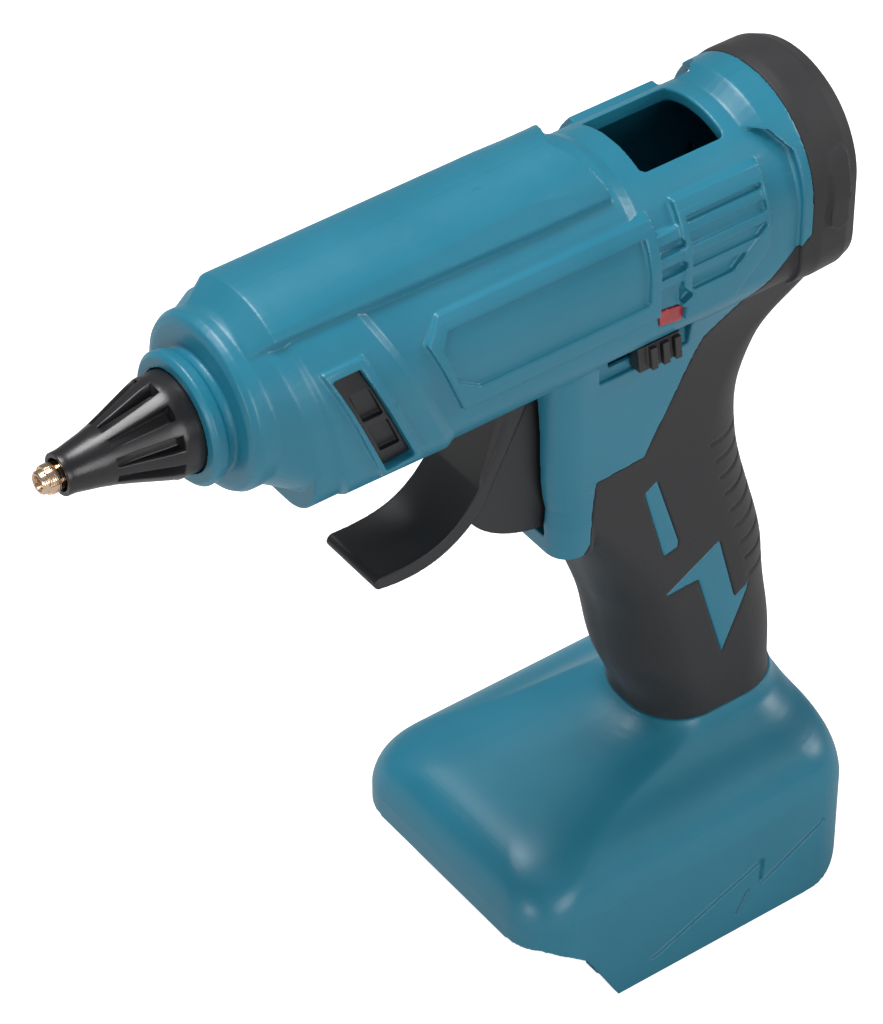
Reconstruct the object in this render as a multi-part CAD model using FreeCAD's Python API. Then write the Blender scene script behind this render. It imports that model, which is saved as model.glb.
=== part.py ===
import FreeCAD, Part
import math
import os

# Cordless hot-melt glue gun that slides onto an 18 V tool battery.
# X runs from the rear to the nozzle, Y to the switch side, Z up. Y = 0 is the parting plane.

# Whole tool
tip_x = 106.5            # end of the brass nozzle
rear_x = -106.5          # rear face of the rim and of the foot
axis_z = 214.3           # height of the glue stick's axis
wide = 60.0              # reach in Y of every cutting prism

# Barrel
barrel_half = 24.1
barrel_low = 189.0
barrel_edge = 12.0       # radius of the lower long edges
window_top = 238.3       # top of the barrel round the window
cover_top = 239.6        # top of the barrel under the raised cover
collar_half = 25.6
rim_front = -90.4        # where the soft rim begins
cavity_r = 20.6
cavity_front = 44.0
cavity_rear = -100.5
pocket_x = -104.6
cavity_low = 191.8

# Handle and foot
foot_front = -2.5
foot_half = 39.0
foot_corner = 12.6
fascia_low = 27.0
shoulder_z = 33.0
neck_z = 57.0
chin_z = 132.6
skirt = 2.8
soft_skin = 1.5          # thickness of the soft grip
shell = 3.3              # outer surface to the inner cavity in the handle

# Glue stick's path and the guide rods above it
bore_r = 5.85
rod_r = 1.5
rod_side = 6.0
rod_z = 227.6

# Stick clamp
clamp_x = -24.6
clamp_z = 207.0
clamp_pin_r = 1.0

# Trigger
pivot_x = -13.5
pivot_z = 197.0
pin_arm = 20.0           # pivot to the carriage's side pins
pin_r = 2.0
trigger_half = 10.0
slot_half = 10.6

# Power switch
switch_floor_y = 18.4
switch_low = 186.4
switch_high = 195.2

# Screws
screw_r = 1.4
head_r = 2.9
boss_r = 3.6
thread_end = 7.0         # Y of the screws' tips
screw_places = [(49, 197.6), (38, 234.6), (-30.5, 194), (-83, 234.6), (-88, 193.5),
                (-66, 122), (-84, 72), (-14, 33.5), (-97, 33.5)]


def vec(x, y, z):
    return FreeCAD.Vector(x, y, z)


def box(x0, x1, y0, y1, z0, z1):
    return Part.makeBox(x1 - x0, y1 - y0, z1 - z0, vec(x0, y0, z0))


def rod_x(x0, x1, r, y=0.0, z=axis_z):
    return Part.makeCylinder(r, x1 - x0, vec(x0, y, z), vec(1, 0, 0))


def rod_y(x, z, r, y0, y1):
    return Part.makeCylinder(r, y1 - y0, vec(x, y0, z), vec(0, 1, 0))


def side_wire(points):
    corners = [vec(x, 0, z) for x, z in points]
    return Part.makePolygon(corners + [corners[0]])


def prism(points, y0=-wide, y1=wide):
    """Outline in the XZ plane, extruded along Y."""
    face = Part.Face(side_wire(points))
    face.translate(vec(0, y0, 0))
    return face.extrude(vec(0, y1 - y0, 0))


def turned(profile):
    """Closed outline of (x, radius), turned about the stick's axis."""
    corners = [vec(x, 0, axis_z + r) for x, r in profile]
    face = Part.Face(Part.makePolygon(corners + [corners[0]]))
    return face.revolve(vec(0, 0, axis_z), vec(1, 0, 0), 360)


def mirrored(shape):
    return shape.mirror(vec(0, 0, 0), vec(0, 1, 0))


def both_sides(shape):
    return shape.fuse(mirrored(shape))


def join(shapes):
    return shapes[0].fuse(shapes[1:])


def path_wire(steps):
    """Wire of straight and arc steps: (end) or (middle, end)."""
    edges = []
    here = steps[0]
    for step in steps[1:]:
        if isinstance(step, tuple):
            edges.append(Part.Arc(here, step[0], step[1]).toShape())
            here = step[1]
        else:
            edges.append(Part.LineSegment(here, step).toShape())
            here = step
    return Part.Wire(edges)


def barrel_wire(x, half, top, low, edge, slant=0.0):
    """Section of the barrel: round top, straight sides, rounded lower edges."""
    mid = top - half

    def at(y, z):
        return vec(x + slant * (z - axis_z), y, z)

    turn = edge * (1 - math.sqrt(0.5))
    steps = [at(half, mid)]
    if slant:
        turns = [math.pi * i / 12 for i in range(13)]
        curve = Part.BSplineCurve()
        curve.interpolate([at(half * math.cos(a), mid + half * math.sin(a)) for a in turns])
        top_edge = curve.toShape()
    else:
        top_edge = Part.Arc(at(half, mid), at(0, top), at(-half, mid)).toShape()
    right = path_wire([at(-half, mid), at(-half, low + edge),
                       (at(-half + turn, low + turn), at(-half + edge, low)),
                       at(half - edge, low),
                       (at(half - turn, low + turn), at(half, low + edge)),
                       at(half, mid)])
    return Part.Wire([top_edge] + right.Edges)


def plan_wire(z, front, rear, half, front_r, rear_r):
    """Horizontal section with rounded corners."""
    ft = front_r * (1 - math.sqrt(0.5))
    rt = rear_r * (1 - math.sqrt(0.5))
    return path_wire([vec(front, front_r - half, z), vec(front, half - front_r, z),
                      (vec(front - ft, half - ft, z), vec(front - front_r, half, z)),
                      vec(rear + rear_r, half, z),
                      (vec(rear + rt, half - rt, z), vec(rear, half - rear_r, z)),
                      vec(rear, rear_r - half, z),
                      (vec(rear + rt, rt - half, z), vec(rear + rear_r, -half, z)),
                      vec(front - front_r, -half, z),
                      (vec(front - ft, ft - half, z), vec(front, front_r - half, z))])


def loft(wires, ruled=True):
    return Part.makeLoft(wires, True, ruled)


def barrel_layer(x0, x1, half, mid=214.6):
    """Straight barrel section, used to raise or sink panels by a constant depth."""
    wires = [barrel_wire(x, half, mid + half, barrel_low, barrel_edge) for x in (x0, x1)]
    return loft(wires)


# ---- outer surface ----

def barrel_core():
    """Barrel, front collar and rear collar as one run of sections."""
    runs = [(50.0, 24.2, cover_top), (-41.0, 24.2, cover_top), (-44.0, barrel_half, window_top),
            (-79.0, barrel_half, window_top), (-83.0, 25.3, 241.3), (rim_front, 25.6, 241.6)]
    wires = [barrel_wire(x, half, top, barrel_low, barrel_edge) for x, half, top in runs]
    return loft(wires)


def rim(inset=0.0):
    """Soft rim round the rear of the barrel, rounded off towards the rear face."""
    runs = [(rim_front, 25.6, 241.6), (-93.0, 25.9, 242.1), (-101.0, 25.5, 242.2),
            (-104.6, 24.1, 240.8), (rear_x + inset, 21.2, 238.0)]
    wires = []
    for x, half, top in runs:
        wires.append(barrel_wire(x, half - inset, top - inset, barrel_low + inset, barrel_edge))
    return loft(wires)


def rim_blocks():
    """Raised block on each side of the rim."""
    outline = [(-96.0, 227.4), (-100.2, 228.4), (-101.2, 226), (-100.6, 208.4), (-98.6, 206.2),
               (-95.2, 208.6)]
    blocks = barrel_layer(-103.6, -93.0, 26.7).common(prism(outline))
    return blocks.common(both_sides(box(-104, -93, 16, wide, 200, 230)))


def front_collar():
    """Nose cone and the raised band that carries the vents; the band's ends lean back."""
    lean = 0.2
    back_lean = 0.44
    nose = barrel_wire(60.6, 20.3, 237.0, 196.4, 19.8)
    brow = barrel_wire(50.6, 24.6, 239.8, 190.8, 14.4, lean)
    crease = barrel_wire(46.4, 24.9, 239.9, 190.3, 13.6, lean)
    band = barrel_wire(45.0, collar_half, 240.4, 189.2, 12.2, lean)
    heel = barrel_wire(22.2, collar_half, 240.4, 188.6, 12.4, back_lean)
    foot = barrel_wire(19.2, 24.1, 238.8, 189.1, 11.8, back_lean)
    wires = [nose, brow, crease, band, heel, foot]
    return join([loft([front, rear]) for front, rear in zip(wires, wires[1:])])


def nose_rings():
    """Two rounded rings round the root of the nozzle shroud."""
    front = turned([(58, 0), (58, 14.6), (66.2, 14.6), (66.9, 16.0), (69.6, 16.3),
                    (70.6, 15.2), (70.6, 0)])
    second = turned([(56, 0), (56, 21.9), (61.8, 21.9), (63.4, 21.0), (64.0, 19.2), (64.0, 0)])
    second.translate(vec(0, 0, 1.4))
    return front.fuse(second)


def cover_wire(x, edge_y, edge_z, crown, foot_y, foot_z):
    base = 222.0
    steps = [vec(x, edge_y, edge_z), (vec(x, 0, crown), vec(x, -edge_y, edge_z)),
             vec(x, -foot_y, foot_z), vec(x, -foot_y + 2, base), vec(x, foot_y - 2, base),
             vec(x, foot_y, foot_z), vec(x, edge_y, edge_z)]
    return path_wire(steps)


def raised_cover():
    """Long raised cover on top, with a steep band along each side and a notched rear end."""
    wires = [cover_wire(58.6, 11.4, 235.2, 238.0, 12.6, 234.0),
             cover_wire(53.2, 13.4, 239.0, 242.8, 14.6, 237.6),
             cover_wire(-19.0, 11.4, 241.3, 244.6, 15.4, 236.6),
             cover_wire(-40.0, 14.4, 237.8, 245.6, 15.2, 236.2)]
    cover = loft(wires)
    notch = Part.makePolygon([vec(-32, 0, 210), vec(-39, 15.4, 210), vec(-39, 19, 210),
                              vec(-50, 19, 210), vec(-50, -19, 210), vec(-39, -19, 210),
                              vec(-39, -15.4, 210), vec(-32, 0, 210)])
    return cover.cut(Part.Face(notch).extrude(vec(0, 0, 60)))


label_outer = [(-45.8, 230.2), (13.8, 230.2), (18.4, 225.4), (10.0, 204.5), (-45.8, 204.5)]
label_inner = [(-42.8, 226.8), (12.4, 226.8), (15.0, 223.0), (11.6, 213.2), (5.6, 209.4),
               (-42.8, 209.4)]
vent_outer = [(45.9, 229.6), (34.9, 229.6), (21.6, 197.4), (32.8, 196.4)]
vent_inner = [(44.2, 227.6), (36.5, 227.6), (24.2, 199.1), (32.0, 198.3)]
louvre_outer = [(-53.0, 231.0), (-80.4, 231.0), (-80.8, 213.0), (-67.8, 200.4), (-52.2, 200.4)]
louvre_inner = [(-54.8, 227.4), (-76.8, 227.4), (-77.2, 217.2), (-67.0, 208.2), (-54.8, 208.2)]


def raised_panels(body):
    """Label frame, vent rims and louvre frames, all raised on both sides and then sunk inside."""
    body = join([body,
                 barrel_layer(-46, 19, 25.9).common(prism(label_outer)),
                 barrel_layer(20, 47, 26.7).common(prism(vent_outer)),
                 barrel_layer(-81, -50, 25.7).common(prism(louvre_outer))])
    flank = both_sides(box(-82, 50, 12, wide, 190, 234))
    sunk_label = prism(label_inner).common(flank).cut(barrel_layer(-46, 19, 24.7))
    sunk_louvre = prism(louvre_inner).common(flank).cut(barrel_layer(-81, -50, 24.3))
    body = body.cut(sunk_label.fuse(sunk_louvre))
    ribs = [prism([(-46, z), (-76.9, z), (-76.9, z + 2.6), (-46, z + 2.6)]) for z in (217.6, 223.2)]
    ribs.append(prism([(-46, 212.0), (-71.2, 212.0), (-74.1, 214.6), (-46, 214.6)]))
    raised = barrel_layer(-77, -46, 25.2).common(join(ribs)).common(flank)
    return body.fuse(raised)


def louvre_slots():
    """Short slots and a small triangular notch at the front ends of the ribs."""
    cuts = [prism([(-46.6, z), (-53.4, z), (-53.4, z + 2.2), (-46.6, z + 2.2)])
            for z in (215.0, 220.6)]
    cuts.append(prism([(-52.4, 210.2), (-55.6, 206.6), (-52.4, 204.8)]))
    flank = both_sides(box(-60, -40, 12, wide, 190, 234))
    return join(cuts).common(flank).cut(barrel_layer(-60, -40, 23.5))


def collar_relief():
    """Step that gives the rear collar its kinked front edge."""
    step = prism([(-78, 185), (-87.6, 185), (-87.6, 230.6), (-83.6, 235.6), (-78, 235.6)])
    core = [barrel_wire(x, barrel_half, window_top, barrel_low, barrel_edge) for x in (-92, -74)]
    return step.cut(loft(core))


def handle_wires(inset=0.0):
    """Horizontal sections of the handle: height, front, rear, half width, corner radii."""
    runs = [(neck_z, -59.1, -100.6, 17.2, 15.2, 15.2), (70, -54.9, -99.7, 17.2, 15.2, 15.2),
            (84, -50.8, -97.9, 17.2, 15.2, 15.2), (98, -47.6, -96.0, 17.2, 14.6, 15.2),
            (108, -44.0, -94.5, 17.2, 14.0, 15.2), (118, -39.6, -91.6, 17.2, 13.0, 15.0),
            (128, -33.8, -88.6, 17.2, 11.4, 15.0), (140, -27.0, -85.6, 17.2, 9.0, 14.8),
            (152, -23.6, -84.2, 17.3, 7.5, 14.6), (160, -23.0, -84.3, 17.5, 7.5, 14.4),
            (168, -22.8, -86.1, 17.8, 7.5, 14.2), (176, -22.4, -89.4, 18.3, 7.5, 14.0),
            (184, -21.6, -96.2, 19.3, 7.5, 13.6), (193, -20.6, -105.2, 21.4, 7.5, 13.4),
            (204, -20.0, -106.3, 23.4, 7.5, 13.0)]
    wires = []
    for z, front, rear, half, front_r, rear_r in runs:
        wires.append(plan_wire(z, front - inset, rear + inset, half - inset,
                               max(front_r - inset, 2.0), rear_r - inset))
    return wires


def handle(inset=0.0):
    return loft(handle_wires(inset), False)


def chin():
    """Lower front corner of the trigger housing, proud of the soft grip below it."""
    runs = [(chin_z, -24.8, 17.4, 6.0), (142.0, -24.4, 17.4, 6.8), (155.0, -25.4, 16.2, 7.4)]
    return loft([plan_wire(z, front, -35.4, half, r, 2.0) for z, front, half, r in runs])


def foot_base():
    """Straight-sided lower part, cut to the profile of its skirts."""
    plan = plan_wire(0, foot_front, rear_x, foot_half, foot_corner, foot_corner)
    base = Part.Face(plan).extrude(vec(0, 0, shoulder_z))
    low = 30.0
    turn = 16.0
    arc_mid = turn * (1 - math.sqrt(0.5))
    edge = path_wire([vec(foot_front + 2, 0, fascia_low), vec(-8.5, 0, 26.3), vec(-14.0, 0, 22.8),
                      vec(-19.4, 0, 18.2), vec(-29.5, 0, 0), vec(rear_x + turn, 0, 0),
                      (vec(rear_x + arc_mid, 0, arc_mid), vec(rear_x, 0, turn)),
                      vec(rear_x - 2, 0, turn), vec(rear_x - 2, 0, -low),
                      vec(foot_front + 2, 0, -low), vec(foot_front + 2, 0, fascia_low)])
    waste = Part.Face(edge)
    waste.translate(vec(0, -wide, 0))
    return base.cut(waste.extrude(vec(0, 2 * wide, 0)))


def foot_dome():
    """Rounded shoulder and domed top that flares up into the handle."""
    runs = [(shoulder_z, 0.0, 0.0, 0.0, 12.6), (38.0, 0.9, 0.3, 0.9, 13.0), (42.4, 3.0, 0.8, 3.0, 14.0),
            (45.6, 6.6, 1.5, 6.4, 15.0), (47.8, 12.5, 2.3, 10.6, 16.0), (49.6, 24.0, 3.1, 14.6, 16.0),
            (52.0, 40.0, 3.9, 18.2, 16.0), (54.4, 51.0, 4.7, 20.6, 15.8), (neck_z, 56.2, 5.4, 21.7, 15.2)]
    wires = [plan_wire(z, foot_front - front, rear_x + rear, foot_half - side, r, r)
             for z, front, rear, side, r in runs]
    return loft(wires, False)


def skirt_grooves():
    """Jagged grooves and a short slit in the foot's sides."""
    lines = [[(-39.6, 6.2), (-75.4, 21.2), (-74.8, 12.4), (-95.4, 23.8)], [(-71.2, 12.6), (-67.4, 5.4)]]
    half_wide = 0.65
    cuts = []
    for line in lines:
        for (x0, z0), (x1, z1) in zip(line, line[1:]):
            run = math.hypot(x1 - x0, z1 - z0)
            ox = (z1 - z0) / run * half_wide
            oz = (x1 - x0) / run * half_wide
            cuts.append(prism([(x0 - ox, z0 + oz), (x1 - ox, z1 + oz), (x1 + ox, z1 - oz),
                               (x0 + ox, z0 - oz)], foot_half - 0.9, wide))
    return both_sides(join(cuts))


def outer_body():
    barrel = join([barrel_core(), front_collar(), nose_rings(), raised_cover()])
    barrel = raised_panels(barrel).cut(collar_relief())
    return join([barrel, rim(), rim_blocks(), handle(), chin(), foot_base(), foot_dome()])


# ---- soft grip ----

grip_line = [(rim_front, 260), (rim_front, 208), (-86, 203.4), (-79, 197.4), (-71, 191.6), (-64, 186.2),
             (-57.3, 170.5), (-49.2, 154.7), (-35.0, 153.8), (-33.6, 138), (-33.6, 135.4),
             (-31.6, chin_z), (-12, chin_z), (-12, neck_z), (-130, neck_z), (-130, 260)]
grip_slash = [(-50.0, 142.4), (-53.7, 144.8), (-61.1, 121.8), (-60.9, 119.8), (-56.7, 118.8)]
grip_bolt = [(-74.2, 115.0), (-80.0, 93.2), (-84.8, 96.0), (-76.6, 76.4), (-68.0, 105.2), (-57.2, 105.0)]


def windows():
    """Places where the hard handle shows through the soft grip."""
    return join([prism(points, y0, y1) for points in (grip_slash, grip_bolt)
                 for y0, y1 in ((8, wide), (-wide, -8))])


def grip_grooves():
    """Nine finger grooves across the back of the grip."""
    cuts = []
    for i in range(9):
        z = 148.0 - 6.2 * i
        front = -69.5 - 0.30 * (148.0 - z)
        slab = box(-120, front, -wide, wide, z - 0.5, z + 0.5)
        cuts.append(slab)
    return join(cuts).cut(handle(0.8))


def under_grip():
    """Hard surface under the soft grip."""
    return rim(soft_skin).fuse(handle(soft_skin))


def rear_pocket():
    """Shallow recess inside the rim, round the stick inlet."""
    return loft([barrel_wire(x, 19.4, 236.0, 192.0, 9.0) for x in (rear_x - 1, pocket_x)])


# ---- hollows and holes ----

def cavity():
    """Inside of the barrel and the handle."""
    barrel = rod_x(cavity_rear, cavity_front, cavity_r)
    floor = box(cavity_rear, 38, -16.8, 16.8, cavity_low, axis_z)
    neck = plan_wire(38, -62, -97.6, 13.9, 11.9, 11.9)
    stem = Part.Face(neck).extrude(vec(0, 0, neck_z - 37))
    return join([barrel, floor, handle(shell), stem])


def foot_room():
    """Battery bay, open to the front and below, and the board's room above it."""
    bay = plan_wire(-5, 20, rear_x + skirt, foot_half - skirt, 3, 9.8)
    bay = Part.Face(bay).extrude(vec(0, 0, fascia_low + 5))
    room = plan_wire(30, -5.5, rear_x + 3, foot_half - 3, 9.6, 9.6)
    room = Part.Face(room).extrude(vec(0, 0, 6))
    upper = plan_wire(36, -12, rear_x + 4.4, foot_half - 7, 10, 10)
    return join([bay, room, Part.Face(upper).extrude(vec(0, 0, 5.4))])


def trigger_slot():
    outline = [(-9.0, 197), (-9.0, 180), (-16, 180), (-16, 137.6), (-58, 137.6), (-58, 197)]
    return prism(outline, -slot_half, slot_half)


switch_track = [(-31.2, switch_high), (-58.4, switch_high), (-59.2, switch_low), (-33.2, switch_low)]
led_outline = [(-46.2, 204.9), (-53.6, 204.0), (-53.0, 199.4), (-46.8, 200.4)]


def openings():
    window = box(-74.2, -50.2, -11.5, 11.5, 215, 260)
    window = window.makeFillet(1.6, [e for e in window.Edges if abs(e.Length - 45) < 0.1])
    vent = prism(vent_inner)
    stem_slot = box(-53.6, -36.6, 0, wide, 189.2, 192.6)
    track = prism(switch_track, switch_floor_y, wide)
    led = prism(led_outline, 12, wide)
    inlet = rod_x(-110, -95, 9.0)
    nose = rod_x(40, 80, 12.7)
    flange = rod_x(57.6, 62.2, 15.2)
    ring_seat = rod_x(45.05, 48.1, 14.55)
    return join([window, vent, stem_slot, track, led, inlet, nose, flange, ring_seat, trigger_slot()])


# ---- inside ribs ----

def ribs():
    """Plates that hold the guide rods and the melt chamber."""
    plates = [(-46.0, -43.4), (7.0, 9.4)]
    made = []
    for x0, x1 in plates:
        plate = rod_x(x0, x1, cavity_r + 0.6).cut(rod_x(x0, x1, 12.5))
        plate = plate.cut(box(x0, x1, -wide, wide, 100, 205))
        made.append(plate)
    made.append(rod_x(43.2, 45.0, cavity_r + 0.6).cut(rod_x(43, 46, 12.7)))
    plates = join(made)
    for side in (-rod_side, rod_side):
        plates = plates.cut(rod_x(-45.2, 8.6, rod_r + 0.03, side, rod_z))
    return plates.cut(box(6, 10, -22, -12, 213.5, 225))


def bay_rails():
    """Rails on the inside of the skirts that the battery's grooves slide on."""
    return both_sides(box(-92, -24, 31.7, foot_half - skirt + 0.4, 9, 13))


def bosses():
    posts = [rod_y(x, z, boss_r, -wide, wide) for x, z in screw_places]
    hinge = rod_y(pivot_x, pivot_z, 4.4, 15.0, wide)
    return join(posts + [both_sides(hinge)])


def screw_holes():
    """Clearance holes and head pockets on the right, pilot holes on the left."""
    cuts = []
    for x, z in screw_places:
        cuts.append(rod_y(x, z, screw_r + 0.05, -wide, thread_end + 1))
        cuts.append(rod_y(x, z, head_r + 0.3, -wide, head_seat(x, z)))
    cuts.append(rod_y(pivot_x, pivot_z, pin_r + 0.02, -20.5, 20.5))
    return join(cuts)


def head_seat(x, z):
    """Y of the face that the screw head sits on: deeper where the part is wide."""
    if z < neck_z:
        return -32.0
    if z > 220:
        return -9.5
    return -13.0



# ---- assembling the shell ----

def build_shell():
    outer = outer_body()
    zone = prism(grip_line)
    holes = join([cavity(), foot_room(), openings()])
    grip = outer.common(zone).cut(under_grip()).cut(windows()).cut(grip_grooves())
    grip = grip.cut(rear_pocket())
    hard = outer.cut(zone).fuse(outer.common(windows()))
    hard = hard.fuse(under_grip().common(zone)).cut(louvre_slots()).cut(skirt_grooves())
    hard = hard.cut(rear_pocket()).cut(holes)
    supports = join([ribs(), bay_rails(), bosses().common(hollow_space())])
    hard = hard.fuse(supports.cut(openings())).cut(screw_holes())
    grip = grip.cut(screw_holes()).cut(join([cavity(), trigger_slot()]))
    return hard, grip


def hollow_space():
    inside = join([cavity(), foot_room().common(box(-120, 20, -wide, wide, 29, 60))])
    return inside


def halves(shape):
    left = shape.common(box(-130, 130, 0, wide, -10, 270))
    right = shape.common(box(-130, 130, -wide, 0, -10, 270))
    return left, right


# ---- nozzle and melt chamber ----

def nozzle_shroud():
    """Heat shroud: plain band, then a cone with ten deep flutes and a narrow neck."""
    shroud = turned([(58.0, 11.0), (58.0, 15.0), (61.8, 15.0), (61.8, 12.4), (75.5, 12.4),
                     (84.0, 9.3), (93.0, 6.3), (98.5, 5.2), (101.4, 4.9), (101.4, 3.7),
                     (92.0, 4.2), (74.0, 9.6), (66.0, 10.6)])
    count = 10
    cuts = []
    for i in range(count):
        slot = prism([(73.2, axis_z + 10.3), (92.5, axis_z + 5.2), (92.5, axis_z + 9),
                      (73.2, axis_z + 15)], -1.3, 1.3)
        slot.rotate(vec(0, 0, axis_z), vec(1, 0, 0), 360.0 * i / count)
        cuts.append(slot)
    return shroud.cut(join(cuts))


def nozzle():
    """Brass nozzle: threaded root, hexagon, tapered body and notched tip."""
    body = turned([(60.0, 1.6), (60.0, 3.0), (66.0, 3.0), (66.0, 6.2), (72.0, 6.2), (74.0, 5.2),
                   (90.0, 3.9), (98.6, 3.1), (102.0, 3.1), (102.4, 3.6), (104.6, 3.6), (105.0, 2.9),
                   (tip_x, 2.6), (tip_x, 1.9), (104.6, 1.0), (72.0, 1.0)])
    notches = []
    for i in range(6):
        notch = box(102.0, 105.4, -0.55, 0.55, axis_z + 3.1, axis_z + 5)
        notch.rotate(vec(0, 0, axis_z), vec(1, 0, 0), 60.0 * i)
        notches.append(notch)
    return body.cut(join(notches))


def melt_chamber():
    """Cast aluminium chamber with a heater channel on top and a necked inlet."""
    body = turned([(2.0, bore_r), (2.0, 7.6), (12.0, 7.6), (12.0, 10.4), (54.0, 10.4), (58.0, 7.0),
                   (65.8, 7.0), (65.8, 3.04), (57.0, 3.04), (50.0, 3.04), (40.0, bore_r)])
    seat = box(16, 40, -7.5, 7.5, axis_z + 6.5, axis_z + 14.5)
    channel = box(14, 42, -5.2, 5.2, axis_z + 11.0, axis_z + 13.6)
    return body.fuse(seat).cut(channel).cut(rod_x(2, 40, bore_r))


def heater():
    return box(17, 39, -5.0, 5.0, axis_z + 11.3, axis_z + 13.3)


def chamber_ring():
    """Insulating ring between the chamber and the front rib."""
    return rod_x(43.3, 45.1, 12.6).fuse(rod_x(45.1, 48.0, 14.5)).cut(rod_x(43, 49, 10.45))


def inlet_sleeve():
    """Silicone sleeve that guides the stick into the chamber."""
    return turned([(1.4, bore_r), (1.4, 9.8), (11.9, 9.8), (11.9, 7.62), (2.0, 7.62), (2.0, bore_r)])


def sleeve_clip():
    return rod_x(7.6, 9.2, 11.2).cut(rod_x(7, 10, 9.82))


def inlet_bush():
    """Stick inlet in the rear wall."""
    return turned([(-106.0, bore_r), (-106.0, 12.6), (pocket_x, 13.0), (pocket_x, 8.95),
                   (-94.0, 8.95), (-94.0, bore_r)])


def vent_insert():
    """Slotted insert behind the left vent."""
    plug = prism(vent_inner, 18, wide).common(barrel_layer(20, 47, 24.3)).cut(barrel_layer(20, 47, 21.3))
    lean = 0.43
    pockets = []
    for z in (203.0, 213.4):
        x = 27.6 + lean * (z - 199.0)
        pockets.append(prism([(x - 2.4, z), (x + 3.0, z), (x + 6.2, z + 8.4), (x + 1.0, z + 8.4)],
                             22.9, wide))
    return plug.cut(join(pockets))


# ---- feed mechanism ----

def guide_rods():
    rods = [rod_x(-45.0, 8.4, rod_r, side, rod_z) for side in (-rod_side, rod_side)]
    return Part.makeCompound(rods)


def carriage():
    """Block that runs on the guide rods, with side pins for the trigger's forks."""
    block = box(-30, -7, -9.5, 9.5, 205.4, 230.6)
    block = block.makeFillet(1.2, [e for e in block.Edges if abs(e.Length - 23) < 0.1])
    pins = rod_y(pivot_x, pivot_z + pin_arm, pin_r, -15.0, 15.0)
    block = block.fuse(pins).cut(rod_x(-31, -6, bore_r + 0.5))
    for side in (-rod_side, rod_side):
        block = block.cut(rod_x(-31, -6, rod_r + 0.06, side, rod_z))
    clamp_room = box(-28.0, -12.5, -2.9, 2.9, 203, 211)
    return block.cut(clamp_room).cut(rod_y(clamp_x, clamp_z, clamp_pin_r + 0.01, -9.6, 9.6))


def clamp_pin():
    return rod_y(clamp_x, clamp_z, clamp_pin_r, -9.4, 9.4)


def stick_clamp():
    """Toothed lever that tips up into the stick as the carriage goes forward."""
    lever = prism([(-26.6, 205.4), (-26.6, 208.2), (-20.0, 207.5), (-18.9, 208.4), (-17.8, 207.5),
                   (-16.7, 208.4), (-15.6, 207.5), (-15.2, 205.0)], -2.5, 2.5)
    return lever.cut(rod_y(clamp_x, clamp_z, clamp_pin_r + 0.03, -3, 3))


def return_springs():
    """Two coil springs on the guide rods, between the carriage and the front rib."""
    springs = []
    for side in (-rod_side, rod_side):
        coil = Part.makeHelix(1.9, 12.4, 2.35)
        section = Part.Wire(Part.makeCircle(0.3, vec(2.35, 0, 0), vec(0, 1, 0)))
        spring = Part.Wire(coil.Edges).makePipeShell([section], True, True)
        spring.rotate(vec(0, 0, 0), vec(0, 1, 0), 90)
        spring.translate(vec(-6.2, side, rod_z))
        springs.append(spring)
    return Part.makeCompound(springs)


def spline_edge(points):
    curve = Part.BSplineCurve()
    curve.interpolate([vec(x, 0, z) for x, z in points])
    return curve.toShape()


def slab(edges, half):
    face = Part.Face(Part.Wire(edges))
    face.translate(vec(0, -half, 0))
    return face.extrude(vec(0, 2 * half, 0))


def line_edge(a, b):
    return Part.LineSegment(vec(a[0], 0, a[1]), vec(b[0], 0, b[1])).toShape()


def trigger():
    """Curved finger lever with a web that fills the slot, and two forked arms."""
    face_line = [(-14.6, 186.5), (-12.8, 175.5), (-8.6, 166.0), (-2.6, 157.0), (4.6, 151.2),
                 (13.0, 149.0), (22.0, 148.9)]
    tip_mid = (24.2, 147.3)
    back_line = [(22.4, 145.4), (13.6, 144.7), (6.0, 146.0), (-1.0, 149.6), (-7.0, 155.2)]
    web_top = (-22.5, 186.5)
    tip = Part.Arc(vec(22.0, 0, 148.9), vec(tip_mid[0], 0, tip_mid[1]), vec(22.4, 0, 145.4)).toShape()
    blade = slab([spline_edge(face_line), tip, spline_edge(back_line),
                  line_edge(back_line[-1], web_top), line_edge(web_top, face_line[0])],
                 trigger_half)
    web_low = [(-3.4, 152.6), (-8.4, 146.6), (-14.0, 142.9), (-19.4, 140.7), (-25.0, 139.5),
               (-31.0, 139.9), (-34.4, 142.6)]
    web = slab([spline_edge(web_low), line_edge(web_low[-1], (-21.0, 190.0)),
                line_edge((-21.0, 190.0), (-14.2, 190.0)), line_edge((-14.2, 190.0), web_low[0])], 9.2)
    root = prism([(-20.0, 186.0), (-14.2, 186.0), (-10.2, 195.0), (-10.2, 199.0), (-18.0, 199.0),
                  (-20.0, 192.0)], -9.2, 9.2)
    hub = rod_y(pivot_x, pivot_z, 4.6, -14.6, 14.6)
    lever = join([blade, web, root, hub])
    for y0, y1 in ((11.2, 14.6), (-14.6, -11.2)):
        arm = box(pivot_x - 4.4, pivot_x + 4.4, y0, y1, pivot_z, pivot_z + pin_arm + 3.6)
        fork = box(pivot_x - pin_r - 0.5, pivot_x + pin_r + 0.5, y0 - 1, y1 + 1,
                   pivot_z + pin_arm - 3.6, pivot_z + pin_arm + 5)
        lever = lever.fuse(arm.cut(fork))
    return lever.cut(rod_y(pivot_x, pivot_z, pin_r + 0.04, -20, 20))


def trigger_pin():
    return rod_y(pivot_x, pivot_z, pin_r, -20.3, 20.3)


# ---- electrical parts ----

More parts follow.
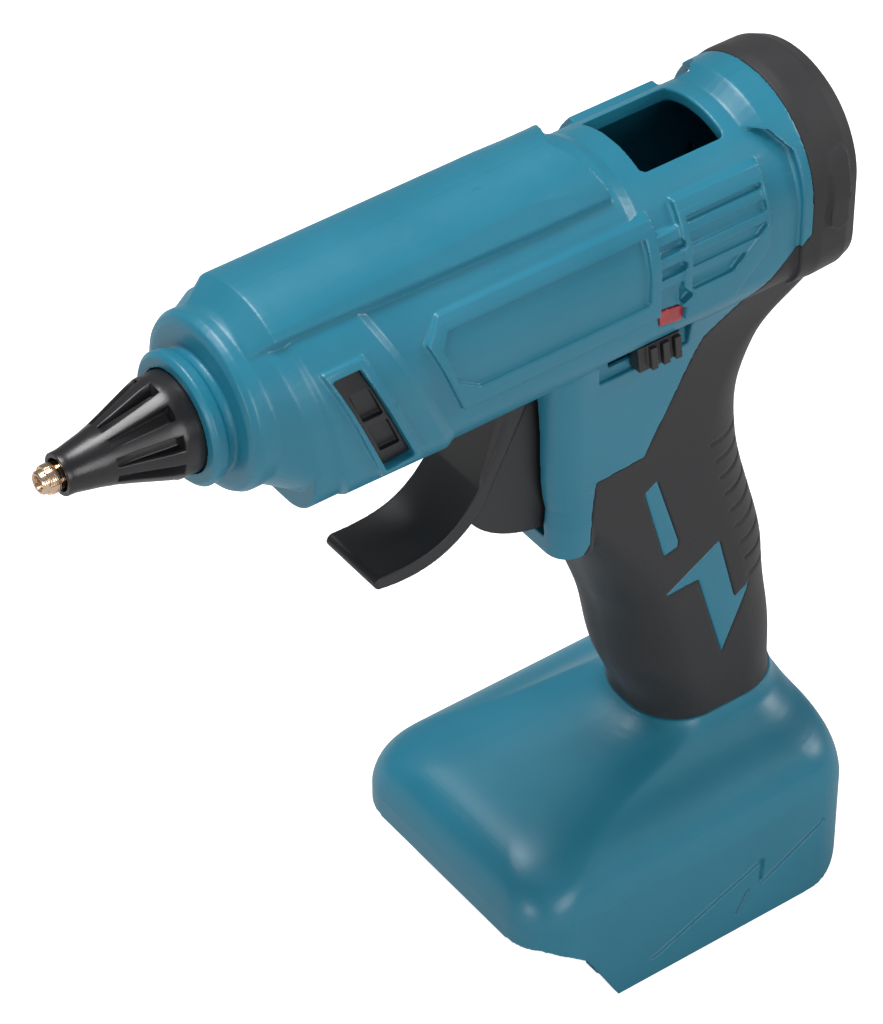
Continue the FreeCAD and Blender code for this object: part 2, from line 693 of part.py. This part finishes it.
def switch_slider():
    """Thumb piece with three ridges, on a stem that reaches the switch."""
    base = [(-42.0, 194.6), (-54.2, 194.6), (-55.0, 187.2), (-42.8, 187.2)]
    pad = prism(base, switch_floor_y + 0.3, 22.4)
    ridges = []
    for i in range(3):
        x = -44.8 - 3.5 * i
        ridges.append(prism([(x, 194.2), (x - 1.9, 194.2), (x - 2.6, 187.6), (x - 0.7, 187.6)],
                            22.0, 23.8))
    stem = box(-51.0, -45.6, 12.4, 19.6, 189.6, 192.2)
    return join([pad, stem] + ridges)


def switch_body():
    body = box(-58.0, -34.6, 10.7, 13.4, switch_low, switch_high)
    body = body.fuse(box(-58.0, -50.0, 10.7, 13.4, switch_low - 4, switch_low))
    track = box(-54.0, -36.0, 12.0, 13.5, 189.0, 192.8)
    return body.cut(track)


def led_lens():
    lens = prism(led_outline, 16, wide).common(barrel_layer(-58, -42, barrel_half + 0.3))
    return lens.cut(barrel_layer(-58, -42, barrel_half - 3.6))


def led_board():
    return box(-58.0, -46.3, 15.0, 16.6, 197.4, 206.4)


def control_board():
    board = box(-92, -18, -26, 26, 31.4, 33.0)
    chips = [box(-80, -70, -14, -6, 33.0, 36.6), box(-52, -44, 6, 14, 33.0, 35.0),
             box(-34, -28, -8, -2, 33.0, 36.0)]
    return join([board] + chips)


def terminal_block():
    """Block that hangs in the battery bay and carries the contact blades."""
    block = box(-96, -62, -15, 15, 12.5, fascia_low - 0.05)
    slots = [box(-63.5, -60, y - 2.2, y + 2.2, 14.0, 25.5) for y in (-10.5, 10.5)]
    return block.cut(join(slots)).cut(battery_blades())


def battery_blades():
    blades = [box(-70, -47, y - 0.4, y + 0.4, 15.5, 24.0) for y in (-10.5, 10.5)]
    blades.append(box(-70, -53, -0.4, 0.4, 15.5, 24.0))
    return Part.makeCompound(blades)


def lead(points, r):
    """Round wire along straight runs joined by tangent arcs."""
    edges = []
    here = points[0]
    for before, corner, after in zip(points, points[1:], points[2:]):
        back = before - corner
        ahead = after - corner
        shorter = min(back.Length, ahead.Length)
        back.normalize()
        ahead.normalize()
        trim = 0.45 * shorter
        start = corner + back * trim
        end = corner + ahead * trim
        middle_dir = back + ahead
        half_turn = (math.pi - back.getAngle(ahead)) / 2
        radius = trim / math.tan(half_turn)
        middle_dir.normalize()
        middle = corner + middle_dir * (radius / math.cos(half_turn) - radius)
        edges.append(Part.LineSegment(here, start).toShape())
        edges.append(Part.Arc(start, middle, end).toShape())
        here = end
    edges.append(Part.LineSegment(here, points[-1]).toShape())
    spine = Part.Wire(edges)
    first = points[1] - points[0]
    section = Part.Wire(Part.makeCircle(r, points[0], first))
    return spine.makePipeShell([section], True, False)


def heater_leads():
    """Two leads from the heater, along the right wall and down the handle to the board."""
    made = []
    for i in (0, 1):
        low = 2.2 * i
        back = 2.4 * i
        made.append(lead([vec(16.9, -1.4 - low, 226.6), vec(13.4, -6.0 - low, 226.0),
                          vec(11.6, -16.4, 221.6 - low), vec(2.0, -17.4, 219.6 - low),
                          vec(-34.0, -17.0, 207.4 - low), vec(-49.0 - back, -12.4, 188.0),
                          vec(-60.0 - back, -12.1, 160.0), vec(-73.0 - back, -12.1, 126.0),
                          vec(-74.6 - back, -12.0, 96.0), vec(-74.6 - back, -10.8, 62.0),
                          vec(-64.0 - back, -9.3, 33.8)], 0.8))
    return Part.makeCompound(made)


def switch_leads():
    """Two leads from the switch down the handle to the board."""
    made = []
    for i in (0, 1):
        back = 2.6 * i
        made.append(lead([vec(-53.2 - back, 12.1, switch_low - 3.9), vec(-55.0 - back, 12.1, 172.0),
                          vec(-64.0 - back, 12.0, 158.0), vec(-72.2 - back, 12.0, 126.0),
                          vec(-74.6 - back, 11.6, 94.0), vec(-74.6 - back, 11.0, 62.0),
                          vec(-70.0 - back, 10.0, 33.8)], 0.8))
    return Part.makeCompound(made)


def screws():
    """Self-tapping screws, driven from the right."""
    made = []
    for x, z in screw_places:
        seat = head_seat(x, z)
        head = rod_y(x, z, head_r, seat - 1.9, seat)
        head = head.fuse(rod_y(x, z, screw_r, seat - 0.1, thread_end))
        socket = [box(x - 1.5, x + 1.5, seat - 3, seat - 0.9, z - 0.3, z + 0.3),
                  box(x - 0.3, x + 0.3, seat - 3, seat - 0.9, z - 1.5, z + 1.5)]
        made.append(head.cut(join(socket)))
    return Part.makeCompound(made)


def nodes():
    hard, grip = build_shell()
    shell_left, shell_right = halves(hard)
    grip_left, grip_right = halves(grip)
    vent = vent_insert()
    return {
        "housing_left": shell_left, "housing_right": shell_right,
        "grip_left": grip_left, "grip_right": grip_right,
        "vent_insert_left": vent, "vent_insert_right": mirrored(vent),
        "nozzle_shroud": nozzle_shroud(), "nozzle": nozzle(),
        "melt_chamber": melt_chamber(), "heater": heater(), "chamber_ring": chamber_ring(),
        "inlet_sleeve": inlet_sleeve(), "sleeve_clip": sleeve_clip(), "inlet_bush": inlet_bush(),
        "guide_rods": guide_rods(), "carriage": carriage(), "return_springs": return_springs(),
        "stick_clamp": stick_clamp(), "clamp_pin": clamp_pin(),
        "trigger": trigger(), "trigger_pin": trigger_pin(),
        "switch_slider": switch_slider(), "switch_body": switch_body(),
        "led_lens": led_lens(), "led_board": led_board(), "control_board": control_board(),
        "terminal_block": terminal_block(), "battery_blades": battery_blades(),
        "heater_leads": heater_leads(), "switch_leads": switch_leads(),
        "housing_screws": screws(),
    }


def main():
    os.makedirs("parts", exist_ok=True)
    for name, shape in nodes().items():
        shape.exportStep("parts/" + name + ".step")
        print(name, "solids", len(shape.Solids), "volume", round(shape.Volume))


main()
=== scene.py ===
import bpy
import bmesh
import math
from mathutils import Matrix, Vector


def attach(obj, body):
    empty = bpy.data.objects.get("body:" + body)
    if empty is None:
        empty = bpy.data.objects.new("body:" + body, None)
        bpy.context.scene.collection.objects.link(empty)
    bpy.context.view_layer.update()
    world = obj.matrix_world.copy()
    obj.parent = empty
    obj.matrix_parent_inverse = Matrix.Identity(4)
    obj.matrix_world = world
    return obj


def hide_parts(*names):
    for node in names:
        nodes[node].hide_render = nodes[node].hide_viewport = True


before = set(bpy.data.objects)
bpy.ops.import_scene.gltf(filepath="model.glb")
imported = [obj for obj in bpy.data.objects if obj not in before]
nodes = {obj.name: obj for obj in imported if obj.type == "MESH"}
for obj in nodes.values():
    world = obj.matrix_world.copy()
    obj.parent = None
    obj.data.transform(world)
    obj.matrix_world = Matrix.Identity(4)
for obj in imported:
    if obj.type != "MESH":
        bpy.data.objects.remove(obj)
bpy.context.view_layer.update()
axisZ = 0.2143          # height of the glue stick's axis
mergeGap = 0.000002     # doubles in a CAD mesh
weldGap = 0.00001       # doubles where a turned piece closes on itself
ringGap = 0.0001        # how near a vertex lies to the ring it belongs to


def clearSelection():
    bpy.ops.object.select_all(action="DESELECT")
    bpy.context.view_layer.objects.active = None


def pick(piece):
    clearSelection()
    piece.select_set(True)
    bpy.context.view_layer.objects.active = piece


def applyModifier(piece, kind, **settings):
    pick(piece)
    modifier = piece.modifiers.new(kind, kind)
    for key, value in settings.items():
        setattr(modifier, key, value)
    bpy.ops.object.modifier_apply(modifier=modifier.name)


def smoothShade(piece, angle=35):
    pick(piece)
    bpy.ops.object.shade_smooth_by_angle(angle=math.radians(angle))


def settle(piece, name, body, material):
    # place goes into the mesh, then the piece rides on its body
    pick(piece)
    bpy.ops.object.transform_apply(location=True, rotation=True, scale=True)
    piece.name = name
    piece.data.name = name
    piece.data.materials.clear()
    piece.data.materials.append(material)
    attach(piece, body)
    return piece


def chooseFaces(piece, test):
    # in edit mode afterwards, with only the faces that pass the test selected
    pick(piece)
    bpy.ops.object.mode_set(mode="EDIT")
    bpy.ops.mesh.select_mode(type="FACE")
    bpy.ops.mesh.select_all(action="DESELECT")
    mesh = bmesh.from_edit_mesh(piece.data)
    for face in mesh.faces:
        face.select_set(bool(test(face)))
    bmesh.update_edit_mesh(piece.data)


def leaveEdit():
    bpy.ops.object.mode_set(mode="OBJECT")


# shader node groups


def newGroup(name, inputs, outputs):
    group = bpy.data.node_groups.new(name, "ShaderNodeTree")
    for label, kind, value in inputs:
        socket = group.interface.new_socket(label, in_out="INPUT", socket_type=kind)
        if value is not None:
            socket.default_value = value
    for label, kind in outputs:
        group.interface.new_socket(label, in_out="OUTPUT", socket_type=kind)
    return group, group.nodes.new("NodeGroupInput"), group.nodes.new("NodeGroupOutput")


def addNode(tree, kind, links=None, **settings):
    node = tree.nodes.new(kind)
    for key, value in settings.items():
        setattr(node, key, value)
    for socket, value in (links or {}).items():
        if isinstance(value, bpy.types.NodeSocket):
            tree.links.new(value, node.inputs[socket])
        else:
            node.inputs[socket].default_value = value
    return node


def makeGrain():
    # fine moulded grain: a normal, and a slow mask for tone and gloss
    group, start, end = newGroup("mouldGrain", [("Size", "NodeSocketFloat", 1500.0),
                                                ("Depth", "NodeSocketFloat", 0.1),
                                                ("Patch", "NodeSocketFloat", 40.0)],
                                 [("Normal", "NodeSocketVector"), ("Mask", "NodeSocketFloat")])
    place = addNode(group, "ShaderNodeTexCoord")
    fine = addNode(group, "ShaderNodeTexNoise", {"Vector": place.outputs["Object"],
                                                 "Scale": start.outputs["Size"], "Detail": 3.0})
    slow = addNode(group, "ShaderNodeTexNoise", {"Vector": place.outputs["Object"],
                                                 "Scale": start.outputs["Patch"], "Detail": 4.0,
                                                 "Roughness": 0.55})
    bump = addNode(group, "ShaderNodeBump", {"Strength": start.outputs["Depth"], "Distance": 0.0002,
                                             "Height": fine.outputs["Fac"]})
    group.links.new(bump.outputs["Normal"], end.inputs["Normal"])
    group.links.new(slow.outputs["Fac"], end.inputs["Mask"])
    return group


def makeTurned():
    # faint rings left by turning, round the X axis
    group, start, end = newGroup("turnedRings", [("Rings", "NodeSocketFloat", 900.0),
                                                 ("Depth", "NodeSocketFloat", 0.1)],
                                 [("Normal", "NodeSocketVector"), ("Mask", "NodeSocketFloat")])
    place = addNode(group, "ShaderNodeTexCoord")
    wave = addNode(group, "ShaderNodeTexWave", {"Vector": place.outputs["Object"],
                                                "Scale": start.outputs["Rings"], "Distortion": 0.6,
                                                "Detail": 2.0}, bands_direction="X")
    blot = addNode(group, "ShaderNodeTexNoise", {"Vector": place.outputs["Object"], "Scale": 220.0,
                                                 "Detail": 4.0})
    bump = addNode(group, "ShaderNodeBump", {"Strength": start.outputs["Depth"], "Distance": 0.0001,
                                             "Height": wave.outputs["Fac"]})
    group.links.new(bump.outputs["Normal"], end.inputs["Normal"])
    group.links.new(blot.outputs["Fac"], end.inputs["Mask"])
    return group


grainGroup = makeGrain()
turnedGroup = makeTurned()


def spread(tree, mask, low, high):
    # maps a 0 to 1 mask to a narrow range of values
    node = addNode(tree, "ShaderNodeMapRange", {"Value": mask, "From Min": 0.3, "From Max": 0.7,
                                                "To Min": low, "To Max": high})
    return node.outputs["Result"]


def blendColour(tree, mask, first, second):
    node = addNode(tree, "ShaderNodeMix", data_type="RGBA")
    tree.links.new(mask, node.inputs[0])
    node.inputs[6].default_value = (*first, 1)
    node.inputs[7].default_value = (*second, 1)
    return node.outputs[2]


def plainMaterial(name, look):
    # moulded plastic, rubber, ceramic and board finishes share this build
    material = bpy.data.materials.new(name)
    material.use_nodes = True
    tree = material.node_tree
    shader = tree.nodes["Principled BSDF"]
    grain = addNode(tree, "ShaderNodeGroup", node_tree=grainGroup)
    grain.inputs["Size"].default_value = look["grain"]
    grain.inputs["Depth"].default_value = look["depth"]
    grain.inputs["Patch"].default_value = look.get("patch", 40.0)
    tone = blendColour(tree, spread(tree, grain.outputs["Mask"], 0.0, 1.0), look["dark"], look["light"])
    tree.links.new(tone, shader.inputs["Base Color"])
    gloss = spread(tree, grain.outputs["Mask"], look["rough"][0], look["rough"][1])
    tree.links.new(gloss, shader.inputs["Roughness"])
    tree.links.new(grain.outputs["Normal"], shader.inputs["Normal"])
    for socket, value in look.get("fixed", {}).items():
        shader.inputs[socket].default_value = value
    return material


def metalMaterial(name, look):
    material = bpy.data.materials.new(name)
    material.use_nodes = True
    tree = material.node_tree
    shader = tree.nodes["Principled BSDF"]
    rings = addNode(tree, "ShaderNodeGroup", node_tree=turnedGroup)
    rings.inputs["Rings"].default_value = look["rings"]
    rings.inputs["Depth"].default_value = look["depth"]
    tone = blendColour(tree, spread(tree, rings.outputs["Mask"], 0.0, 1.0), look["dark"], look["light"])
    tree.links.new(tone, shader.inputs["Base Color"])
    gloss = spread(tree, rings.outputs["Mask"], look["rough"][0], look["rough"][1])
    tree.links.new(gloss, shader.inputs["Roughness"])
    tree.links.new(rings.outputs["Normal"], shader.inputs["Normal"])
    shader.inputs["Metallic"].default_value = 1.0
    return material


shellLook = {"dark": (0.010, 0.160, 0.245), "light": (0.015, 0.182, 0.275), "grain": 2600.0, "depth": 0.10,
             "patch": 26.0, "rough": (0.36, 0.43), "fixed": {"Specular IOR Level": 0.5, "Coat Weight": 0.12,
                                                             "Coat Roughness": 0.28}}
gripLook = {"dark": (0.017, 0.017, 0.019), "light": (0.023, 0.023, 0.025), "grain": 1900.0, "depth": 0.22,
            "patch": 60.0, "rough": (0.56, 0.66), "fixed": {"Specular IOR Level": 0.42,
                                                            "Sheen Weight": 0.12, "Sheen Roughness": 0.4}}
blackLook = {"dark": (0.014, 0.014, 0.016), "light": (0.019, 0.019, 0.021), "grain": 2300.0, "depth": 0.12,
             "patch": 50.0, "rough": (0.40, 0.48)}
shroudLook = {"dark": (0.010, 0.010, 0.012), "light": (0.015, 0.015, 0.017), "grain": 2000.0, "depth": 0.10,
              "patch": 70.0, "rough": (0.26, 0.36)}
lensLook = {"dark": (0.30, 0.010, 0.016), "light": (0.38, 0.020, 0.024), "grain": 900.0, "depth": 0.05,
            "patch": 300.0, "rough": (0.16, 0.24), "fixed": {"Coat Weight": 0.5, "Coat Roughness": 0.08,
                                                             "Subsurface Weight": 0.2,
                                                             "Subsurface Scale": 0.002}}
boardLook = {"dark": (0.015, 0.10, 0.035), "light": (0.025, 0.14, 0.05), "grain": 900.0, "depth": 0.1,
             "rough": (0.35, 0.5)}
siliconeLook = {"dark": (0.50, 0.13, 0.08), "light": (0.58, 0.17, 0.10), "grain": 900.0, "depth": 0.15,
                "rough": (0.45, 0.6)}
ceramicLook = {"dark": (0.70, 0.67, 0.60), "light": (0.80, 0.77, 0.70), "grain": 1400.0, "depth": 0.3,
               "rough": (0.6, 0.75)}
wireLook = {"dark": (0.45, 0.02, 0.02), "light": (0.55, 0.035, 0.03), "grain": 900.0, "depth": 0.05,
            "rough": (0.3, 0.4)}
brassLook = {"dark": (0.66, 0.46, 0.32), "light": (0.86, 0.66, 0.48), "rings": 700.0, "depth": 0.35,
             "rough": (0.18, 0.32)}
aluminiumLook = {"dark": (0.50, 0.51, 0.52), "light": (0.62, 0.63, 0.64), "rings": 500.0, "depth": 0.2,
                 "rough": (0.35, 0.5)}
steelLook = {"dark": (0.42, 0.42, 0.43), "light": (0.56, 0.56, 0.57), "rings": 900.0, "depth": 0.15,
             "rough": (0.25, 0.38)}

finishes = {"hard_shell": plainMaterial("tealShell", shellLook),
            "soft_grip": plainMaterial("softGrip", gripLook),
            "black_plastic": plainMaterial("blackPlastic", blackLook),
            "shroud": plainMaterial("shroudPlastic", shroudLook),
            "led_red": plainMaterial("redLens", lensLook),
            "board": plainMaterial("greenBoard", boardLook),
            "silicone": plainMaterial("silicone", siliconeLook),
            "ceramic": plainMaterial("ceramic", ceramicLook),
            "lead_red": plainMaterial("redLead", wireLook),
            "brass": metalMaterial("brass", brassLook),
            "aluminium": metalMaterial("castAluminium", aluminiumLook),
            "steel": metalMaterial("steel", steelLook)}
print("materials ready")


# CAD nodes that stay as they are take their slot's finish

def paintNode(name, slot):
    piece = nodes[name]
    piece.data.materials.clear()
    piece.data.materials.append(finishes[slot])
    smoothShade(piece)


stayingNodes = {"heater": "ceramic", "chamber_ring": "ceramic", "inlet_sleeve": "silicone",
                "sleeve_clip": "steel", "melt_chamber": "aluminium", "guide_rods": "steel",
                "carriage": "black_plastic", "return_springs": "steel", "stick_clamp": "steel",
                "clamp_pin": "steel", "trigger_pin": "steel", "switch_body": "black_plastic",
                "led_board": "board", "control_board": "board", "battery_blades": "brass",
                "heater_leads": "lead_red", "switch_leads": "lead_red", "housing_screws": "steel"}
for nodeName, slotName in stayingNodes.items():
    paintNode(nodeName, slotName)


# moulded parts: soft edges, and a tight parting line on the halves

partingSlit = 0.00001     # each half stops this short of the parting plane
cutGap = 0.000001
creaseAngle = 50
softShell = {"voxel": 0.00036, "rounds": 1, "overrun": 0.0009, "triangles": 190000}
softParts = {"trigger": ("trigger", "black_plastic", 0.00035, 4),
             "switch_slider": ("switch", "black_plastic", 0.0002, 2),
             "led_lens": ("body", "led_red", 0.0002, 3),
             "vent_insert_left": ("body", "black_plastic", 0.0002, 2),
             "vent_insert_right": ("body", "black_plastic", 0.0002, 2),
             "inlet_bush": ("body", "black_plastic", 0.0003, 2),
             "terminal_block": ("body", "black_plastic", 0.0005, 2)}


def copyNode(nodeName):
    # a loose copy of a CAD node with its doubles merged
    piece = nodes[nodeName].copy()
    piece.data = nodes[nodeName].data.copy()
    piece.parent = None
    for key in list(piece.keys()):
        del piece[key]
    bpy.context.scene.collection.objects.link(piece)
    pick(piece)
    bpy.ops.object.mode_set(mode="EDIT")
    bpy.ops.mesh.select_all(action="SELECT")
    bpy.ops.mesh.remove_doubles(threshold=mergeGap)
    leaveEdit()
    return piece


def thinOut(piece, limit):
    count = sum(len(p.vertices) - 2 for p in piece.data.polygons)
    if count > limit:
        applyModifier(piece, "DECIMATE", ratio=limit / count)


def soften(piece, voxel, rounds):
    applyModifier(piece, "REMESH", mode="VOXEL", voxel_size=voxel, adaptivity=0.0)
    applyModifier(piece, "SMOOTH", factor=0.5, iterations=rounds)


def softenHalf(nodeName, slot):
    piece = copyNode(nodeName)
    side = 1 if max(vertex.co.y for vertex in piece.data.vertices) > 0.01 else -1
    # the flat parting face is moved out before softening, and cut back afterwards
    for vertex in piece.data.vertices:
        if abs(vertex.co.y) < mergeGap:
            vertex.co.y = -side * softShell["overrun"]
    soften(piece, softShell["voxel"], softShell["rounds"])
    bpy.ops.object.mode_set(mode="EDIT")
    bpy.ops.mesh.select_all(action="SELECT")
    bpy.ops.mesh.bisect(plane_co=(0, side * partingSlit, 0), plane_no=(0, side, 0), use_fill=True,
                        clear_inner=True, threshold=cutGap)
    leaveEdit()
    thinOut(piece, softShell["triangles"])
    smoothShade(piece, creaseAngle)
    settle(piece, nodeName + "_moulded", "body", finishes[slot])
    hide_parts(nodeName)


def softenPart(nodeName, body, slot, voxel, rounds):
    piece = copyNode(nodeName)
    soften(piece, voxel, rounds)
    thinOut(piece, softShell["triangles"] // 2)
    smoothShade(piece, creaseAngle)
    settle(piece, nodeName + "_moulded", body, finishes[slot])
    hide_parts(nodeName)


for nodeName, slotName in (("housing_left", "hard_shell"), ("housing_right", "hard_shell"),
                           ("grip_left", "soft_grip"), ("grip_right", "soft_grip")):
    softenHalf(nodeName, slotName)
    print("softened", nodeName)
for nodeName, (bodyName, slotName, voxelSize, roundCount) in softParts.items():
    softenPart(nodeName, bodyName, slotName, voxelSize, roundCount)
print("small parts softened")


# turned parts


def lathe(name, profile, steps):
    # a closed outline of (x, radius) in metres, spun about the glue stick's axis
    clearSelection()
    firstX, firstR = profile[0]
    bpy.ops.mesh.primitive_plane_add(size=0.001, location=(0, 0, 0))
    piece = bpy.context.object
    piece.name = name
    bpy.ops.object.mode_set(mode="EDIT")
    bpy.ops.mesh.select_mode(type="VERT")
    bpy.ops.mesh.select_all(action="SELECT")
    bpy.ops.mesh.merge(type="CENTER")
    bpy.ops.transform.translate(value=(firstX, 0, axisZ + firstR))
    for (x0, r0), (x1, r1) in zip(profile, profile[1:]):
        bpy.ops.mesh.extrude_region_move(TRANSFORM_OT_translate={"value": (x1 - x0, 0, r1 - r0)})
    mesh = bmesh.from_edit_mesh(piece.data)
    mesh.verts.ensure_lookup_table()
    ends = [vertex for vertex in mesh.verts if len(vertex.link_edges) == 1]
    for vertex in mesh.verts:
        vertex.select_set(vertex in ends)
    bmesh.update_edit_mesh(piece.data)
    bpy.ops.mesh.edge_face_add()
    bpy.ops.mesh.select_all(action="SELECT")
    bpy.ops.mesh.spin(steps=steps, angle=2 * math.pi, center=(0, 0, axisZ), axis=(1, 0, 0))
    bpy.ops.mesh.select_all(action="SELECT")
    bpy.ops.mesh.remove_doubles(threshold=weldGap)
    bpy.ops.mesh.normals_make_consistent(inside=False)
    leaveEdit()
    return piece


def angleRound(point, count, start=0.0):
    # angle in degrees from the nearest of the evenly spaced places round the axis
    turn = math.degrees(math.atan2(point.y, point.z - axisZ)) - start
    pitch = 360.0 / count
    return (turn + pitch / 2) % pitch - pitch / 2


def radiusOf(point):
    return math.hypot(point.y, point.z - axisZ)


shroudSizes = {"outside": [(0.0600, 0.0124), (0.0740, 0.01235), (0.0755, 0.0122), (0.0780, 0.0114),
                           (0.0820, 0.0100), (0.0860, 0.0086), (0.0900, 0.0073), (0.0930, 0.0065),
                           (0.0965, 0.0058), (0.0990, 0.0053), (0.1002, 0.0052), (0.1014, 0.0052)],
               "inside": [(0.1014, 0.0040), (0.0980, 0.0038), (0.0920, 0.0046), (0.0860, 0.0056),
                          (0.0740, 0.0074), (0.0660, 0.0095), (0.0600, 0.0110)],
               "floors": {0.0755: 0.0086, 0.0780: 0.0083, 0.0820: 0.0076, 0.0860: 0.0070,
                          0.0900: 0.0067},
               "flutes": 10, "halfAngle": 9.1, "edge": 0.00022, "steps": 120}


def makeShroud():
    # heat shroud: plain band, then a cone with ten tapering flutes, and a narrow neck
    sizes = shroudSizes
    piece = lathe("shroudCone", sizes["outside"] + sizes["inside"], sizes["steps"])
    rings = sorted(sizes["floors"])
    outer = dict(sizes["outside"])

    def inFlute(face):
        middle = face.calc_center_median()
        inRun = rings[0] < middle.x < rings[-1]
        onOutside = face.normal.dot(Vector((0, middle.y, middle.z - axisZ))) > 0
        return inRun and onOutside and abs(angleRound(middle, sizes["flutes"])) < sizes["halfAngle"]

    chooseFaces(piece, inFlute)
    bpy.ops.mesh.extrude_region_move()
    bpy.ops.mesh.select_mode(type="VERT")
    mesh = bmesh.from_edit_mesh(piece.data)
    floor = [vertex.index for vertex in mesh.verts if vertex.select]
    for ringX in rings:
        mesh = bmesh.from_edit_mesh(piece.data)
        mesh.verts.ensure_lookup_table()
        for vertex in mesh.verts:
            vertex.select_set(False)
        for index in floor:
            vertex = mesh.verts[index]
            vertex.select_set(abs(vertex.co.x - ringX) < ringGap)
        bmesh.update_edit_mesh(piece.data)
        size = sizes["floors"][ringX] / outer[ringX]
        bpy.ops.transform.resize(value=(1, size, size), center_override=(0, 0, axisZ))
    leaveEdit()
    applyModifier(piece, "BEVEL", width=sizes["edge"], segments=2, limit_method="ANGLE",
                  angle_limit=math.radians(40))
    smoothShade(piece, 35)
    settle(piece, "fluted_shroud", "body", finishes["shroud"])
    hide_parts("nozzle_shroud")


tipSizes = {"outline": [(0.0600, 0.0030), (0.0660, 0.0030), (0.0662, 0.0060), (0.0720, 0.0060),
                        (0.0740, 0.0050), (0.0900, 0.0038), (0.0986, 0.0032), (0.1020, 0.0032),
                        (0.1023, 0.0034), (0.1027, 0.0036), (0.1044, 0.0036), (0.1048, 0.0034),
                        (0.1049, 0.0029), (0.1060, 0.0028), (0.1065, 0.0024), (0.1064, 0.0019),
                        (0.1050, 0.0015), (0.0980, 0.0014), (0.0600, 0.0014)],
            "notches": 6, "notchAngle": 9.0, "notchFloor": 0.88, "edge": 0.00012, "steps": 72}


def makeTip():
    # brass nozzle with a notched collar and a coned mouth
    sizes = tipSizes
    piece = lathe("brassTip", sizes["outline"], sizes["steps"])

    def inNotch(face):
        middle = face.calc_center_median()
        onCollar = 0.1021 < middle.x < 0.1049 and radiusOf(middle) > 0.0031
        return onCollar and abs(angleRound(middle, sizes["notches"], 12.0)) < sizes["notchAngle"]

    chooseFaces(piece, inNotch)
    bpy.ops.mesh.extrude_region_move()
    floor = sizes["notchFloor"]
    bpy.ops.transform.resize(value=(1, floor, floor), center_override=(0, 0, axisZ))
    leaveEdit()
    applyModifier(piece, "BEVEL", width=sizes["edge"], segments=2, limit_method="ANGLE",
                  angle_limit=math.radians(35))
    smoothShade(piece, 35)
    settle(piece, "brass_tip", "body", finishes["brass"])
    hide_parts("nozzle")


makeShroud()
makeTip()
print("shroud and tip modelled")


# floor, lights and camera

stageSizes = {"floor": 30.0, "floorGlow": 0.93, "floorGrey": 0.55, "worldLight": 0.22,
              "floorDrop": 0.0002, "aimHeight": 0.12}
lampSizes = {"keyLight": ((0.25, -0.35, 1.6), 0.8, 24.0), "fillLight": ((0.1, 1.6, 0.7), 0.9, 10.0),
             "backLight": ((-1.4, 0.6, 0.9), 0.5, 8.0), "frontLight": ((1.5, 0.6, 0.35), 0.5, 5.0)}


def makeFloor():
    # seen directly the floor is near white, but it throws back only a grey light
    clearSelection()
    bpy.ops.mesh.primitive_plane_add(size=stageSizes["floor"], location=(0, 0, -stageSizes["floorDrop"]))
    floor = bpy.context.object
    floor.name = "floor"
    paint = bpy.data.materials.new("paleFloor")
    paint.use_nodes = True
    tree = paint.node_tree
    shader = tree.nodes["Principled BSDF"]
    grey = stageSizes["floorGrey"]
    shader.inputs["Base Color"].default_value = (grey, grey, grey, 1)
    shader.inputs["Roughness"].default_value = 0.9
    sight = addNode(tree, "ShaderNodeLightPath")
    glow = addNode(tree, "ShaderNodeEmission", {"Color": (1, 1, 1, 1)})
    shown = addNode(tree, "ShaderNodeMath", {0: sight.outputs["Is Camera Ray"],
                                             1: stageSizes["floorGlow"]}, operation="MULTIPLY")
    tree.links.new(shown.outputs[0], glow.inputs["Strength"])
    both = addNode(tree, "ShaderNodeAddShader")
    tree.links.new(shader.outputs["BSDF"], both.inputs[0])
    tree.links.new(glow.outputs["Emission"], both.inputs[1])
    tree.links.new(both.outputs["Shader"], tree.nodes["Material Output"].inputs["Surface"])
    floor.data.materials.append(paint)


def makeLight(name, place, size, power):
    light = bpy.data.lights.new(name, "AREA")
    light.shape = "DISK"
    light.size = size
    light.energy = power
    lamp = bpy.data.objects.new(name, light)
    bpy.context.scene.collection.objects.link(lamp)
    lamp.location = place
    aim = Vector((0, 0, stageSizes["aimHeight"]))
    lamp.rotation_euler = (aim - Vector(place)).to_track_quat("-Z", "Y").to_euler()


makeFloor()
for lampName, (lampPlace, lampSize, lampPower) in lampSizes.items():
    makeLight(lampName, lampPlace, lampSize, lampPower)

world = bpy.data.worlds.new("studio")
bpy.context.scene.world = world
world.use_nodes = True
worldShader = world.node_tree.nodes["Background"]
worldShader.inputs["Color"].default_value = (1, 1, 1, 1)
worldShader.inputs["Strength"].default_value = stageSizes["worldLight"]
bpy.context.scene.view_settings.view_transform = "Standard"

cameraSettings = {"place": (0.5083, 0.6976, 0.9117), "back": (0.4430, 0.6053, 0.6613),
                  "lens": 199.2, "sensor": 36.0}


def makeCamera():
    camera = bpy.data.cameras.new("camera")
    camera.lens = cameraSettings["lens"]
    camera.sensor_fit = "HORIZONTAL"
    camera.sensor_width = cameraSettings["sensor"]
    eye = bpy.data.objects.new("camera", camera)
    bpy.context.scene.collection.objects.link(eye)
    eye.location = cameraSettings["place"]
    eye.rotation_euler = Vector(cameraSettings["back"]).to_track_quat("Z", "Y").to_euler()
    camera.clip_start = 0.05
    bpy.context.scene.camera = eye


makeCamera()
